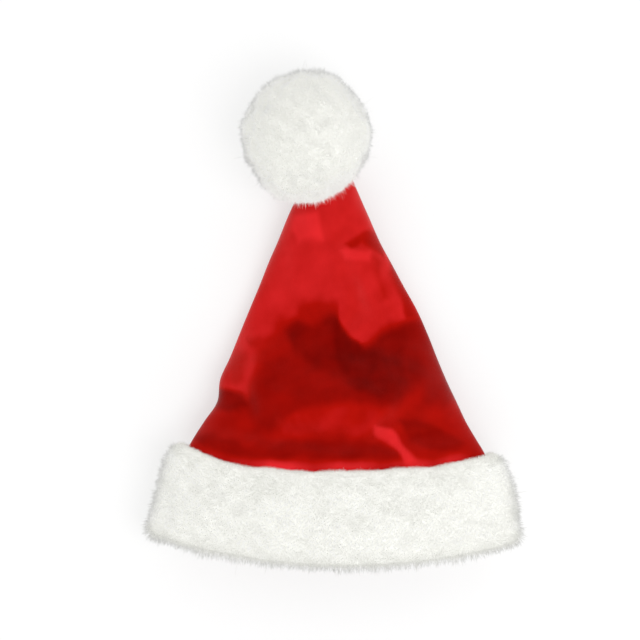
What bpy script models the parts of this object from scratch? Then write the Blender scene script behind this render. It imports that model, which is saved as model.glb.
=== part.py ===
"""A soft cone hat of red satin with a plush cuff and a plush pompom, lying on its back.

Metres. The hat lies on the plane z = 0 with +Z up, the tip towards +Y and the brim's mouth towards -Y.
The origin is on that plane, under the middle of the cuff, where the pressed plush is flat.

The crown is a flattened cone. Its layout is a fan: rays spread from an apex, and a place on the crown
is a share along the rays (1 at the brim's cut edge) and a turn round the flattened section.
"""

import math

import bmesh
import bpy
import numpy as np
from mathutils import Vector

# Crown, as a fan laid flat
FAN_RADIUS = 0.370
FAN_HALF_ANGLE = math.radians(24.5)
FAN_TURN = math.radians(0.5)
APEX_X = -0.0053
APEX_Y = 0.3445
CROWN_TOP = 0.064
FABRIC = 0.0016
SEAM_ALONG = 0.820
SEAM_TILT = 0.012
TIP_ALONG = 0.080
TIP_POINT = 0.008

# Cuff, a band of plush round the crown's lower edge
CUFF_HEIGHT = 0.0776
CUFF_PILE = 0.0130
CUFF_LOCK = 0.0050
CUFF_LOCK_LEAN = 0.0035
BRIM_ROLL = 0.0110

# Pompom, a ball of plush on the crown's tip
POMPOM_CORE = 0.0485
POMPOM_LOCK = 0.0105
POMPOM_PRESS = 0.0025
POMPOM_SIDE = math.radians(-45)
POMPOM_SINK = 0.0105

# Clearance that pieces keep where they meet
GAP = 0.0003

# The crown's cut edge stops short of the cuff's rolled lower edge, and its under layer lies on the cuff's pile
CROWN_CUT = SEAM_ALONG + (CUFF_HEIGHT - BRIM_ROLL) / FAN_RADIUS
CROWN_LIFT = CUFF_PILE + CUFF_LOCK / 10

# Mesh divisions
AROUND = 48
ROWS_UNDER_CUFF = 4
ROWS_ABOVE_CUFF = 22
POMPOM_SUBDIVISIONS = 3

# Locks are up to this share shorter than named, by turns of the golden angle
LOCK_VARIATION = 0.35
GOLDEN_ANGLE = math.pi * (3 - math.sqrt(5))

# The under layer lies flatter than the upper one: its section is an ellipse raised to this power
UNDER_POWER = 0.62

# The crown from tip to brim. along is a share of FAN_RADIUS. left and right are shares of FAN_HALF_ANGLE.
# top is a share of CROWN_TOP, under a share of CROWN_LIFT, edge how high the side folds lie between them,
# and bow how far the side folds reach on towards the brim, as a share of FAN_RADIUS.
CROWN_SECTIONS = [
    {"along": 0.075, "left": 1.20, "right": 1.10, "top": 0.62, "under": 1.80, "edge": 0.50, "bow": 0.000},
    {"along": 0.120, "left": 1.12, "right": 0.99, "top": 0.66, "under": 1.30, "edge": 0.50, "bow": 0.000},
    {"along": 0.175, "left": 1.09, "right": 0.97, "top": 0.69, "under": 0.80, "edge": 0.46, "bow": 0.000},
    {"along": 0.230, "left": 1.08, "right": 0.97, "top": 0.68, "under": 0.45, "edge": 0.42, "bow": 0.000},
    {"along": 0.290, "left": 1.05, "right": 0.97, "top": 0.65, "under": 0.20, "edge": 0.38, "bow": 0.000},
    {"along": 0.350, "left": 1.04, "right": 1.00, "top": 0.61, "under": 0.08, "edge": 0.36, "bow": 0.000},
    {"along": 0.410, "left": 1.02, "right": 1.02, "top": 0.58, "under": 0.08, "edge": 0.35, "bow": 0.000},
    {"along": 0.470, "left": 1.01, "right": 1.04, "top": 0.58, "under": 0.08, "edge": 0.35, "bow": 0.003},
    {"along": 0.530, "left": 1.00, "right": 1.03, "top": 0.65, "under": 0.08, "edge": 0.35, "bow": 0.007},
    {"along": 0.590, "left": 0.99, "right": 1.01, "top": 0.79, "under": 0.08, "edge": 0.35, "bow": 0.012},
    {"along": 0.645, "left": 0.99, "right": 1.00, "top": 0.92, "under": 0.15, "edge": 0.35, "bow": 0.017},
    {"along": 0.690, "left": 0.94, "right": 1.00, "top": 0.94, "under": 0.35, "edge": 0.37, "bow": 0.021},
    {"along": 0.740, "left": 0.97, "right": 1.00, "top": 0.91, "under": 0.65, "edge": 0.40, "bow": 0.026},
    {"along": 0.780, "left": 0.99, "right": 1.01, "top": 0.97, "under": 0.90, "edge": 0.45, "bow": 0.028},
    {"along": 0.820, "left": 1.00, "right": 1.02, "top": 0.93, "under": 1.00, "edge": 0.48, "bow": 0.028},
    {"along": 0.870, "left": 0.99, "right": 1.00, "top": 0.95, "under": 1.00, "edge": 0.49, "bow": 0.029},
    {"along": 1.000, "left": 0.95, "right": 0.94, "top": 0.96, "under": 1.00, "edge": 0.49, "bow": 0.031},
    {"along": 1.080, "left": 0.94, "right": 0.93, "top": 0.96, "under": 1.00, "edge": 0.49, "bow": 0.031},
]

# Folds of the upper layer. along and across place a fold's middle, across from -1 at the left side fold to 1
# at the right one. way is its run in degrees from the ray, length and width are shares of FAN_RADIUS, and
# height is a share of CROWN_TOP.
CROWN_FOLDS = [
    {"fold": "sag left", "along": 0.46, "across": -0.28, "way": 80, "length": 0.138, "width": 0.059, "height": -0.10},
    {"fold": "sag right", "along": 0.50, "across": 0.52, "way": -75, "length": 0.156, "width": 0.062, "height": -0.12},
    {"fold": "tongue", "along": 0.45, "across": 0.14, "way": -20, "length": 0.121, "width": 0.045, "height": 0.10},
    {"fold": "ridge", "along": 0.71, "across": 0.28, "way": -38, "length": 0.138, "width": 0.029, "height": 0.10},
    {"fold": "ridge hollow", "along": 0.73, "across": 0.56, "way": 70, "length": 0.121, "width": 0.038, "height": -0.10},
    {"fold": "seam hollow", "along": 0.735, "across": -0.2, "way": 86, "length": 0.259, "width": 0.028, "height": -0.07},
    {"fold": "side pinch", "along": 0.67, "across": -0.8, "way": 60, "length": 0.078, "width": 0.035, "height": -0.12},
    {"fold": "side puff", "along": 0.59, "across": -0.74, "way": 20, "length": 0.086, "width": 0.038, "height": 0.08},
    {"fold": "side crease", "along": 0.37, "across": 0.5, "way": 12, "length": 0.138, "width": 0.024, "height": -0.07},
    {"fold": "tip dimple", "along": 0.27, "across": 0.45, "way": 70, "length": 0.069, "width": 0.028, "height": -0.06},
]

# Folds fade out over this share of FAN_RADIUS above the seam
FOLD_FADE = 0.05

# The cuff's section. down is a share of CUFF_HEIGHT from the seam, and out a share of CUFF_PILE off the crown.
CUFF_OUTER = [
    {"down": 0.00, "out": 0.00, "locks": False},
    {"down": -0.05, "out": 0.45, "locks": True},
    {"down": 0.02, "out": 0.86, "locks": True},
    {"down": 0.15, "out": 1.00, "locks": True},
    {"down": 0.29, "out": 1.02, "locks": True},
    {"down": 0.43, "out": 1.04, "locks": True},
    {"down": 0.57, "out": 1.04, "locks": True},
    {"down": 0.71, "out": 1.02, "locks": True},
    {"down": 0.85, "out": 0.98, "locks": True},
    {"down": 0.96, "out": 0.72, "locks": True},
    {"down": 1.00, "out": 0.30, "locks": False},
    {"down": 0.98, "out": 0.00, "locks": False},
]


def clear_scene():
    for item in list(bpy.data.objects):
        bpy.data.objects.remove(item)


def collection_named(name):
    made = bpy.data.collections.new(name)
    bpy.context.scene.collection.children.link(made)
    return made


def principled(name, colour, roughness):
    material = bpy.data.materials.new(name)
    material.use_nodes = True
    shader = material.node_tree.nodes["Principled BSDF"]
    shader.inputs["Base Color"].default_value = (*colour, 1)
    shader.inputs["Roughness"].default_value = roughness
    shader.inputs["Metallic"].default_value = 0
    return material


def on_curve(table, column, along):
    """The column's value at a share along, on a smooth curve through the table's rows."""
    stations = np.array([row["along"] for row in table])
    values = np.array([row[column] for row in table])
    slopes = np.gradient(values, stations)
    i = int(np.clip(np.searchsorted(stations, along) - 1, 0, len(stations) - 2))
    span = stations[i + 1] - stations[i]
    t = float(np.clip((along - stations[i]) / span, 0, 1))
    start, end = values[i], values[i + 1]
    return (
        start * (2 * t**3 - 3 * t**2 + 1)
        + end * (3 * t**2 - 2 * t**3)
        + span * (slopes[i] * (t**3 - 2 * t**2 + t) + slopes[i + 1] * (t**3 - t**2))
    )


def fan_place(along, across):
    """The place on the plane for a share along the rays and a share across the fan, from -1 to 1."""
    left = on_curve(CROWN_SECTIONS, "left", along) * FAN_HALF_ANGLE
    right = on_curve(CROWN_SECTIONS, "right", along) * FAN_HALF_ANGLE
    ray = FAN_TURN + (right - left) / 2 + across * (right + left) / 2
    bow = on_curve(CROWN_SECTIONS, "bow", along)
    radius = FAN_RADIUS * (along * (1 + SEAM_TILT * across) + bow * across**2)
    return Vector((APEX_X + radius * math.sin(ray), APEX_Y - radius * math.cos(ray), 0))


def fold_height(place):
    """How far the folds lift or sink the upper layer at a place: a sum of long soft bumps."""
    height = 0.0
    for fold in CROWN_FOLDS:
        middle = fan_place(fold["along"], fold["across"])
        way = math.radians(fold["way"]) + math.atan2(middle.x - APEX_X, APEX_Y - middle.y)
        offset = (place - middle) / FAN_RADIUS
        lengthwise = offset.x * math.sin(way) - offset.y * math.cos(way)
        sideways = offset.x * math.cos(way) + offset.y * math.sin(way)
        reach = (lengthwise / fold["length"]) ** 2 + (sideways / fold["width"]) ** 2
        height += fold["height"] * CROWN_TOP * math.exp(-reach)
    return height


def crown_surface(along, turn):
    """The crown's outer surface: a flattened round section at each share along, with folds above."""
    swell = math.sin(turn)
    place = fan_place(along, math.cos(turn))
    top = on_curve(CROWN_SECTIONS, "top", along) * CROWN_TOP
    under = on_curve(CROWN_SECTIONS, "under", along) * CROWN_LIFT
    side = under + (top - under) * on_curve(CROWN_SECTIONS, "edge", along)
    if swell > 0:
        fade = min(max((SEAM_ALONG - along) / FOLD_FADE, 0), 1)
        place.z = side + (top - side) * swell + fold_height(place) * swell * fade
    else:
        place.z = side - (side - under) * (-swell) ** UNDER_POWER
    return place


def crown_outside(along, turn, grow=0.0):
    """The outer surface, moved out by grow along its normal."""
    step = 1e-3
    here = crown_surface(along, turn)
    if not grow:
        return here
    round_it = crown_surface(along, turn + step) - crown_surface(along, turn - step)
    along_it = crown_surface(along + step, turn) - crown_surface(along - step, turn)
    return here + round_it.cross(along_it).normalized() * grow


def crown_stations():
    """Shares along from the brim's cut edge to the tip, by way of the seam."""
    under_cuff = np.linspace(CROWN_CUT, SEAM_ALONG, ROWS_UNDER_CUFF + 1)
    above_cuff = np.linspace(SEAM_ALONG, TIP_ALONG, ROWS_ABOVE_CUFF + 1)
    return [*under_cuff, *above_cuff[1:]]


def wrapped_tube(sections, place):
    """A grid with a row for each section, wrapped round: place gives a point for a section and a turn.

    It returns the mesh, its last row of vertices, and the faces between each section and the next.
    """
    mesh = bmesh.new()
    bands = len(sections) - 1
    bmesh.ops.create_grid(mesh, x_segments=AROUND, y_segments=bands, size=0.5)
    band_faces = [[] for _ in range(bands)]
    for face in mesh.faces:
        band_faces[int((face.calc_center_median().y + 0.5) * bands)].append(face)
    last_row = [v for v in mesh.verts if v.co.y > 0.5 - 0.5 / bands]
    for vertex in mesh.verts:
        row = round((vertex.co.y + 0.5) * bands)
        column = round((vertex.co.x + 0.5) * AROUND)
        vertex.co = place(sections[row], 2 * math.pi * (column % AROUND) / AROUND)
    return mesh, last_row, band_faces


def close_wrap(mesh):
    bmesh.ops.remove_doubles(mesh, verts=mesh.verts, dist=1e-6)


def lock_length(longest, count):
    return longest * (1 - LOCK_VARIATION * (0.5 + 0.5 * math.sin(count * GOLDEN_ANGLE)))


def finish_object(mesh, name, collection, material):
    bmesh.ops.recalc_face_normals(mesh, faces=mesh.faces)
    data = bpy.data.meshes.new(name)
    mesh.to_mesh(data)
    mesh.free()
    made = bpy.data.objects.new(name, data)
    collection.objects.link(made)
    data.materials.append(material)
    data.shade_smooth()
    return made


def crown_shell(stations, grow):
    """The crown's outer surface through the stations, moved out by grow and gathered shut at the tip."""
    mesh, last_row, _ = wrapped_tube(stations, lambda along, turn: crown_outside(along, turn, grow))
    loop = [e for e in mesh.edges if all(v in last_row for v in e.verts)]
    filled = bmesh.ops.contextual_create(mesh, geom=loop)["faces"]
    tip = bmesh.ops.poke(mesh, faces=filled)["verts"][0]
    tip.co = crown_middle(TIP_ALONG) + Vector((0, TIP_POINT + 2 * grow, 0))
    close_wrap(mesh)
    return mesh


def add_crown(collection, material):
    """The red cone: one shell of fabric, open at the brim and gathered shut at the tip."""
    mesh = crown_shell(crown_stations(), 0.0)
    crown = finish_object(mesh, "crown", collection, material)
    wall = crown.modifiers.new("fabric", "SOLIDIFY")
    wall.thickness = FABRIC
    wall.offset = -1
    wall.use_even_offset = True
    wall.use_quality_normals = True
    return crown


def tip_cutter(collection, material):
    """The crown's tip grown by the gap, as a closed solid that the pompom is cut with."""
    reach = TIP_ALONG + (POMPOM_CORE + POMPOM_LOCK) * 2 / FAN_RADIUS
    mesh = crown_shell([station for station in crown_stations() if station < reach], GAP)
    bmesh.ops.contextual_create(mesh, geom=[e for e in mesh.edges if e.is_boundary])
    cutter = finish_object(mesh, "tip_cutter", collection, material)
    cutter.hide_render = True
    cutter.display_type = "WIRE"
    return cutter


def crown_middle(along):
    """The middle of the crown's section at a share along."""
    above = crown_surface(along, math.pi / 2)
    below = crown_surface(along, -math.pi / 2)
    return (above + below) / 2


def cuff_place(row, turn):
    """A place in the cuff: down its height from the seam, and out from the crown's surface."""
    down, out = row
    return crown_outside(SEAM_ALONG + down * CUFF_HEIGHT / FAN_RADIUS, turn, GAP + out * CUFF_PILE)


def add_cuff(collection, material):
    """The plush band: a ring that hugs the crown, its outer side covered with locks of fur."""
    section = [(row["down"], row["out"]) for row in CUFF_OUTER]
    inside = [(station - SEAM_ALONG) * FAN_RADIUS / CUFF_HEIGHT for station in crown_stations()]
    section += [(down, 0.0) for down in inside[:ROWS_UNDER_CUFF]]
    mesh, _, band_faces = wrapped_tube([*section, section[0]], cuff_place)
    furred = [face for row, faces in zip(CUFF_OUTER, band_faces) if row["locks"] for face in faces]
    tips = bmesh.ops.poke(mesh, faces=furred)["verts"]
    close_wrap(mesh)
    bmesh.ops.recalc_face_normals(mesh, faces=mesh.faces)
    for count, tip in enumerate(tips):
        away = Vector((tip.co.x - APEX_X, tip.co.y - APEX_Y, 0)).normalized()
        tip.normal_update()
        tip.co += tip.normal * lock_length(CUFF_LOCK, count) + away * CUFF_LOCK_LEAN
    for vertex in mesh.verts:
        vertex.co.z = max(vertex.co.z, 0.0)
    return finish_object(mesh, "cuff", collection, material)


def pompom_middle():
    """The ball rests on the plane and is seated on the crown's tip, to one side of it."""
    height = POMPOM_CORE + POMPOM_LOCK - POMPOM_PRESS
    tip = crown_middle(TIP_ALONG)
    apart = POMPOM_CORE - POMPOM_SINK
    level = math.sqrt(max(apart**2 - (height - tip.z) ** 2, 0))
    return Vector((tip.x + level * math.sin(POMPOM_SIDE), tip.y + level * math.cos(POMPOM_SIDE), height))


def add_pompom(collection, material, cutter):
    """The ball: a round head covered with locks of fur, cut clear of the crown's tip."""
    mesh = bmesh.new()
    bmesh.ops.create_icosphere(mesh, subdivisions=POMPOM_SUBDIVISIONS, radius=POMPOM_CORE)
    tips = bmesh.ops.poke(mesh, faces=mesh.faces)["verts"]
    for count, tip in enumerate(tips):
        tip.co = tip.co.normalized() * (POMPOM_CORE + lock_length(POMPOM_LOCK, count))
    bmesh.ops.translate(mesh, verts=mesh.verts, vec=pompom_middle())
    for vertex in mesh.verts:
        vertex.co.z = max(vertex.co.z, 0.0)
    pompom = finish_object(mesh, "pompom", collection, material)
    cut = pompom.modifiers.new("tip seat", "BOOLEAN")
    cut.operation = "DIFFERENCE"
    cut.object = cutter
    return pompom


def keep_largest_body(made):
    """Bakes the cut, and drops the lock tips that it leaves loose."""
    evaluated = made.evaluated_get(bpy.context.evaluated_depsgraph_get())
    mesh = bmesh.new()
    mesh.from_mesh(bpy.data.meshes.new_from_object(evaluated))
    left = set(mesh.verts)
    bodies = []
    while left:
        body, edge = set(), [left.pop()]
        while edge:
            vertex = edge.pop()
            body.add(vertex)
            for link in vertex.link_edges:
                other = link.other_vert(vertex)
                if other in left:
                    left.remove(other)
                    edge.append(other)
        bodies.append(body)
    largest = max(bodies, key=len)
    loose = [v for v in mesh.verts if v not in largest]
    bmesh.ops.delete(mesh, geom=loose, context="VERTS")
    made.modifiers.clear()
    mesh.to_mesh(made.data)
    mesh.free()


def build():
    clear_scene()
    hat = collection_named("santa_hat")
    cutters = collection_named("cutters")
    satin = principled("red_satin", (0.52, 0.012, 0.014), 0.45)
    plush = principled("white_plush", (0.86, 0.86, 0.83), 0.95)
    add_crown(hat, satin)
    add_cuff(hat, plush)
    pompom = add_pompom(hat, plush, tip_cutter(cutters, plush))
    bpy.context.view_layer.update()
    keep_largest_body(pompom)


build()
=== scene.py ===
"""The looks of a soft red cone hat with a plush cuff and a plush pompom, lying on its back.

Laid out as an add-on and run as a script. Everything is in metres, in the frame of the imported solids:
the hat lies on z = 0, +X is to the right, +Y runs from the brim to the pompom and +Z is up.
"""

import math

import bpy
import numpy as np
from bpy.props import FloatProperty, FloatVectorProperty, IntProperty, PointerProperty
from bpy.types import Operator, Panel, PropertyGroup
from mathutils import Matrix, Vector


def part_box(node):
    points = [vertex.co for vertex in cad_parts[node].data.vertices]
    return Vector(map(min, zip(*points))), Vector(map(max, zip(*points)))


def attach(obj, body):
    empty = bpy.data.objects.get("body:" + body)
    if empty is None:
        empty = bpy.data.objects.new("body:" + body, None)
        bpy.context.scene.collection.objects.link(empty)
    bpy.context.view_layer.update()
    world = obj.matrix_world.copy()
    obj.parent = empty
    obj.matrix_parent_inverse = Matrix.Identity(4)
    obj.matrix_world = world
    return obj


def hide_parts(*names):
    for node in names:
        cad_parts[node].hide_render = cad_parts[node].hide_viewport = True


bl_info = {
    "name": "Plush cone hat",
    "version": (1, 0, 0),
    "blender": (4, 5, 0),
    "location": "View3D > Sidebar > Plush hat",
    "description": "Builds the fabric, plush and stage of a soft cone hat round its packed solids",
    "category": "Object",
}

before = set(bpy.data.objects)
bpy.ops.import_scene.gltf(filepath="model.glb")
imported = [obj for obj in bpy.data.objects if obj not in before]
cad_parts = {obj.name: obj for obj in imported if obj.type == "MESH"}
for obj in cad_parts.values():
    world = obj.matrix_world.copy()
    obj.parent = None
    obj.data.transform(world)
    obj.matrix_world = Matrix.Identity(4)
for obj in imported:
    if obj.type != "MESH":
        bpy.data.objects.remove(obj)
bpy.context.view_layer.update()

# The crown as a fan laid flat, as in the solids
FAN_RADIUS = 0.370
FAN_HALF_ANGLE = math.radians(24.5)
FAN_TURN = math.radians(0.5)
APEX_X = -0.0053
APEX_Y = 0.3445
CROWN_TOP = 0.064
SEAM_ALONG = 0.820
SEAM_TILT = 0.012
TIP_ALONG = 0.080
TIP_POINT = 0.008
CUFF_HEIGHT = 0.0776
CUFF_PILE = 0.0130
BRIM_ROLL = 0.0110
CROWN_LIFT = 0.0135
GAP = 0.0003
UNDER_POWER = 0.62
CROWN_CUT = SEAM_ALONG + (CUFF_HEIGHT - BRIM_ROLL) / FAN_RADIUS

# The crown from tip to brim, as in the solids: shares of FAN_RADIUS, FAN_HALF_ANGLE, CROWN_TOP and CROWN_LIFT
CROWN_SECTIONS = [
    {"along": 0.075, "left": 1.20, "right": 1.10, "top": 0.62, "under": 1.80, "edge": 0.50, "bow": 0.000},
    {"along": 0.120, "left": 1.12, "right": 0.99, "top": 0.66, "under": 1.30, "edge": 0.50, "bow": 0.000},
    {"along": 0.175, "left": 1.09, "right": 0.97, "top": 0.69, "under": 0.80, "edge": 0.46, "bow": 0.000},
    {"along": 0.230, "left": 1.08, "right": 0.97, "top": 0.68, "under": 0.45, "edge": 0.42, "bow": 0.000},
    {"along": 0.290, "left": 1.05, "right": 0.97, "top": 0.65, "under": 0.20, "edge": 0.38, "bow": 0.000},
    {"along": 0.350, "left": 1.04, "right": 1.00, "top": 0.61, "under": 0.08, "edge": 0.36, "bow": 0.000},
    {"along": 0.410, "left": 1.02, "right": 1.02, "top": 0.58, "under": 0.08, "edge": 0.35, "bow": 0.000},
    {"along": 0.470, "left": 1.01, "right": 1.04, "top": 0.58, "under": 0.08, "edge": 0.35, "bow": 0.003},
    {"along": 0.530, "left": 1.00, "right": 1.03, "top": 0.65, "under": 0.08, "edge": 0.35, "bow": 0.007},
    {"along": 0.590, "left": 0.99, "right": 1.01, "top": 0.79, "under": 0.08, "edge": 0.35, "bow": 0.012},
    {"along": 0.645, "left": 0.99, "right": 1.00, "top": 0.92, "under": 0.15, "edge": 0.35, "bow": 0.017},
    {"along": 0.690, "left": 0.94, "right": 1.00, "top": 0.94, "under": 0.35, "edge": 0.37, "bow": 0.021},
    {"along": 0.740, "left": 0.97, "right": 1.00, "top": 0.91, "under": 0.65, "edge": 0.40, "bow": 0.026},
    {"along": 0.780, "left": 0.99, "right": 1.01, "top": 0.97, "under": 0.90, "edge": 0.45, "bow": 0.028},
    {"along": 0.820, "left": 1.00, "right": 1.02, "top": 0.93, "under": 1.00, "edge": 0.48, "bow": 0.028},
    {"along": 0.870, "left": 0.99, "right": 1.00, "top": 0.95, "under": 1.00, "edge": 0.49, "bow": 0.029},
    {"along": 1.000, "left": 0.95, "right": 0.94, "top": 0.96, "under": 1.00, "edge": 0.49, "bow": 0.031},
    {"along": 1.080, "left": 0.94, "right": 0.93, "top": 0.96, "under": 1.00, "edge": 0.49, "bow": 0.031},
]

# Folds of the upper layer. along and across place a fold's middle, way is its run in degrees from the ray,
# length and width are shares of FAN_RADIUS, and height is a share of CROWN_TOP.
CROWN_FOLDS = [
    {"fold": "sag left", "along": 0.46, "across": -0.28, "way": 80,
     "length": 0.138, "width": 0.059, "height": -0.10},
    {"fold": "sag right", "along": 0.50, "across": 0.52, "way": -75,
     "length": 0.156, "width": 0.062, "height": -0.12},
    {"fold": "tongue", "along": 0.45, "across": 0.14, "way": -20,
     "length": 0.121, "width": 0.045, "height": 0.10},
    {"fold": "ridge", "along": 0.71, "across": 0.28, "way": -38,
     "length": 0.138, "width": 0.029, "height": 0.10},
    {"fold": "ridge hollow", "along": 0.73, "across": 0.56, "way": 70,
     "length": 0.121, "width": 0.038, "height": -0.10},
    {"fold": "seam hollow", "along": 0.735, "across": -0.2, "way": 86,
     "length": 0.259, "width": 0.028, "height": -0.07},
    {"fold": "side pinch", "along": 0.67, "across": -0.8, "way": 60,
     "length": 0.078, "width": 0.035, "height": -0.12},
    {"fold": "side puff", "along": 0.59, "across": -0.74, "way": 20,
     "length": 0.086, "width": 0.038, "height": 0.08},
    {"fold": "side crease", "along": 0.37, "across": 0.5, "way": 12,
     "length": 0.138, "width": 0.024, "height": -0.07},
    {"fold": "tip dimple", "along": 0.27, "across": 0.45, "way": 70,
     "length": 0.069, "width": 0.028, "height": -0.06},
]
FOLD_FADE = 0.05

# Painted shadows and painted highlights on the upper layer, in place of much of the light and shade of its
# folds: from 0 for the deepest red to 1 for the palest. Outlines are x and y in millimetres, a rim is the
# width of a patch's soft edge, and each patch covers those before it. The layer underneath and the inner face
# are even.
SHADE_LEVEL = 0.68
# Painted shade: the layer underneath and the inner face are a deeper red than the upper layer
UNDER_SHADE = 0.40
PAINTED_SHADE_PATCHES = [
    {"patch": "lower field", "shade": 0.42, "rim": 16, "outline": [
        (-115, 102), (-79, 109), (-72, 130), (-67, 159), (-52, 172), (-33, 182), (-5, 188), (9, 174),
        (26, 153), (49, 162), (77, 181), (149, 57), (144, 26), (-146, 26), (-137, 70),
    ]},
    {"patch": "shadow's brow", "shade": 0.45, "rim": 14, "outline": [
        (-40, 172), (-31, 187), (-14, 195), (3, 190), (13, 174), (2, 172), (-21, 169),
    ]},
    {"patch": "middle shade", "shade": 0.31, "rim": 14, "outline": [
        (-65, 141), (-35, 146), (-16, 130), (12, 116), (33, 104), (4, 104), (-32, 95), (-46, 77),
        (-70, 79), (-81, 99),
    ]},
    {"patch": "right side", "shade": 0.30, "rim": 11, "outline": [
        (77, 178), (90, 157), (102, 128), (111, 106), (95, 99), (77, 106), (67, 130), (62, 153),
    ]},
    {"patch": "crest", "shade": 0.48, "rim": 11, "outline": [
        (-49, 88), (-30, 99), (4, 106), (32, 102), (55, 95), (60, 84), (49, 72), (12, 74), (-32, 72),
        (-55, 76),
    ]},
    {"patch": "crest's top", "shade": 0.53, "rim": 9, "outline": [
        (-34, 92), (-8, 98), (12, 103), (32, 98), (39, 84), (26, 76), (5, 77), (-30, 77),
    ]},
    {"patch": "shadow", "shade": 0.24, "rim": 14, "outline": [
        (-43, 166), (-35, 174), (-21, 171), (-9, 179), (-1, 181), (7, 172), (15, 163), (25, 153),
        (37, 163), (49, 171), (62, 173), (75, 171), (78, 154), (73, 130), (66, 113), (55, 104),
        (40, 102), (26, 108), (12, 115), (-2, 122), (-16, 130), (-28, 139), (-37, 148),
    ]},
    {"patch": "shadow's heart", "shade": 0.13, "rim": 12, "outline": [
        (-6, 172), (2, 178), (9, 167), (23, 150), (44, 150), (56, 150), (58, 136), (52, 122), (42, 113),
        (31, 113), (19, 118), (7, 128), (-2, 142),
    ]},
    {"patch": "heart's foot", "shade": 0.20, "rim": 10, "outline": [
        (38, 136), (56, 136), (60, 124), (52, 112), (38, 110), (30, 120),
    ]},
    {"patch": "left arm", "shade": 0.19, "rim": 11, "outline": [
        (-42, 166), (-34, 172), (-28, 164), (-26, 151), (-17, 140), (-26, 140), (-36, 149),
    ]},
    {"patch": "valley", "shade": 0.31, "rim": 8, "outline": [
        (-79, 63), (-58, 70), (-23, 71), (12, 71), (39, 68), (53, 59), (58, 51), (39, 51), (-5, 54),
        (-40, 55), (-69, 55),
    ]},
    {"patch": "lower left", "shade": 0.28, "rim": 8, "outline": [
        (-126, 72), (-107, 76), (-84, 70), (-74, 63), (-70, 55), (-98, 57), (-116, 62),
    ]},
    {"patch": "right valley", "shade": 0.29, "rim": 8, "outline": [
        (55, 88), (70, 88), (92, 79), (113, 68), (106, 62), (83, 62), (65, 70),
    ]},
    {"patch": "pocket", "shade": 0.22, "rim": 8, "outline": [
        (-109, 115), (-100, 117), (-91, 114), (-82, 109), (-78, 101), (-86, 95), (-98, 95), (-113, 102),
    ]},
    {"patch": "left glow", "shade": 0.56, "rim": 10, "outline": [
        (-105, 121), (-93, 151), (-80, 150), (-79, 123), (-87, 120), (-98, 120),
    ]},
    {"patch": "left nick", "shade": 0.50, "rim": 8, "outline": [
        (-77, 159), (-66, 158), (-62, 151), (-74, 153),
    ]},
    {"patch": "tongue", "shade": 0.66, "rim": 4, "outline": [
        (2, 194), (15, 188), (24, 174), (28, 159), (22, 154), (12, 164), (4, 178),
    ]},
    {"patch": "outer run", "shade": 0.64, "rim": 8, "outline": [
        (44, 222), (52, 208), (58, 190), (55, 176), (48, 180), (44, 197), (40, 213),
    ]},
    {"patch": "upper nick", "shade": 0.56, "rim": 9, "outline": [
        (33, 230), (40, 227), (42, 209), (46, 194), (40, 194), (35, 209),
    ]},
    {"patch": "right edge", "shade": 0.42, "rim": 7, "outline": [
        (49, 232), (62, 204), (74, 178), (64, 176), (57, 197), (48, 218),
    ]},
    {"patch": "glow by the pompom", "shade": 0.86, "rim": 8, "outline": [
        (-37, 269), (-16, 272), (-11, 248), (-33, 244), (-40, 255),
    ]},
    {"patch": "first dimple", "shade": 0.44, "rim": 6, "outline": [
        (8, 244), (21, 253), (34, 254), (46, 239), (42, 232), (33, 238), (23, 245), (14, 240),
    ]},
    {"patch": "under the dimple", "shade": 0.86, "rim": 6, "outline": [
        (3, 238), (17, 240), (31, 236), (28, 229), (8, 228),
    ]},
    {"patch": "ridge streak", "shade": 0.84, "rim": 5, "outline": [
        (33, 84), (47, 81), (59, 67), (71, 53), (63, 48), (54, 60), (44, 70), (33, 77),
    ]},
]
# The patches' rims wander by about this much, in waves about this long
SHADE_WANDER = 0.0014
SHADE_WANDER_SIZE = 0.020
# The painted highlight along the seam goes past 1, so the velour's ramp ends here
SHADE_TOP = 1.3
# Below this sine of the turn the velour has the lower layer's even level, and above it the painted patches
# come in at this rate
SHADE_SIDE = -0.25
SHADE_SIDE_RATE = 6
# Uneven brushing over the whole cloth, as ripples
NAP_CLOUDS = [
    {"height": 0.03, "wavelength": 0.025, "seed": 4},
    {"height": 0.01, "wavelength": 0.009, "seed": 7},
]

# The seam's turning points from left to right: x in millimetres, how many millimetres the plush's edge drops
# towards the brim there, and the level of the painted highlight where the velour rolls into the seam
SEAM_LINE = [
    {"point": "left corner", "x": -125, "drop": 0.0, "shade": 0.52},
    {"point": "left run", "x": -98, "drop": 3.5, "shade": 0.60},
    {"point": "left dip", "x": -75, "drop": 4.0, "shade": 0.67},
    {"point": "left glow", "x": -58, "drop": 1.0, "shade": 1.12},
    {"point": "left glow's end", "x": -40, "drop": 0.9, "shade": 1.12},
    {"point": "dull middle", "x": -20, "drop": 0.6, "shade": 0.69},
    {"point": "middle glow", "x": 4, "drop": -1.9, "shade": 0.93},
    {"point": "middle glow's end", "x": 22, "drop": -1.7, "shade": 0.92},
    {"point": "dull right", "x": 37, "drop": -0.4, "shade": 0.63},
    {"point": "beside the streak", "x": 56, "drop": -0.4, "shade": 0.68},
    {"point": "streak's foot", "x": 67, "drop": 1.0, "shade": 1.00},
    {"point": "right dip", "x": 86, "drop": 3.9, "shade": 0.73},
    {"point": "right glow", "x": 101, "drop": 3.2, "shade": 0.92},
    {"point": "right corner", "x": 122, "drop": 5.0, "shade": 0.52},
]
# How far up the crown the painted highlight of the roll into the seam reaches, as a share of FAN_RADIUS
SEAM_ROLL = 0.027
# The seam's wandering fades out from the first to the second down of the cuff's section
SEAM_FADE = (0.02, 0.45)

# Distance between the crown's small wrinkles, the velour's ribs and grains, and the plush ground's tufts
WRINKLE_SIZE = 0.022
RIB_SPACING = 0.0014
NAP_GRAIN = 0.0022
TUFT_SIZE = 0.003

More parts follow.
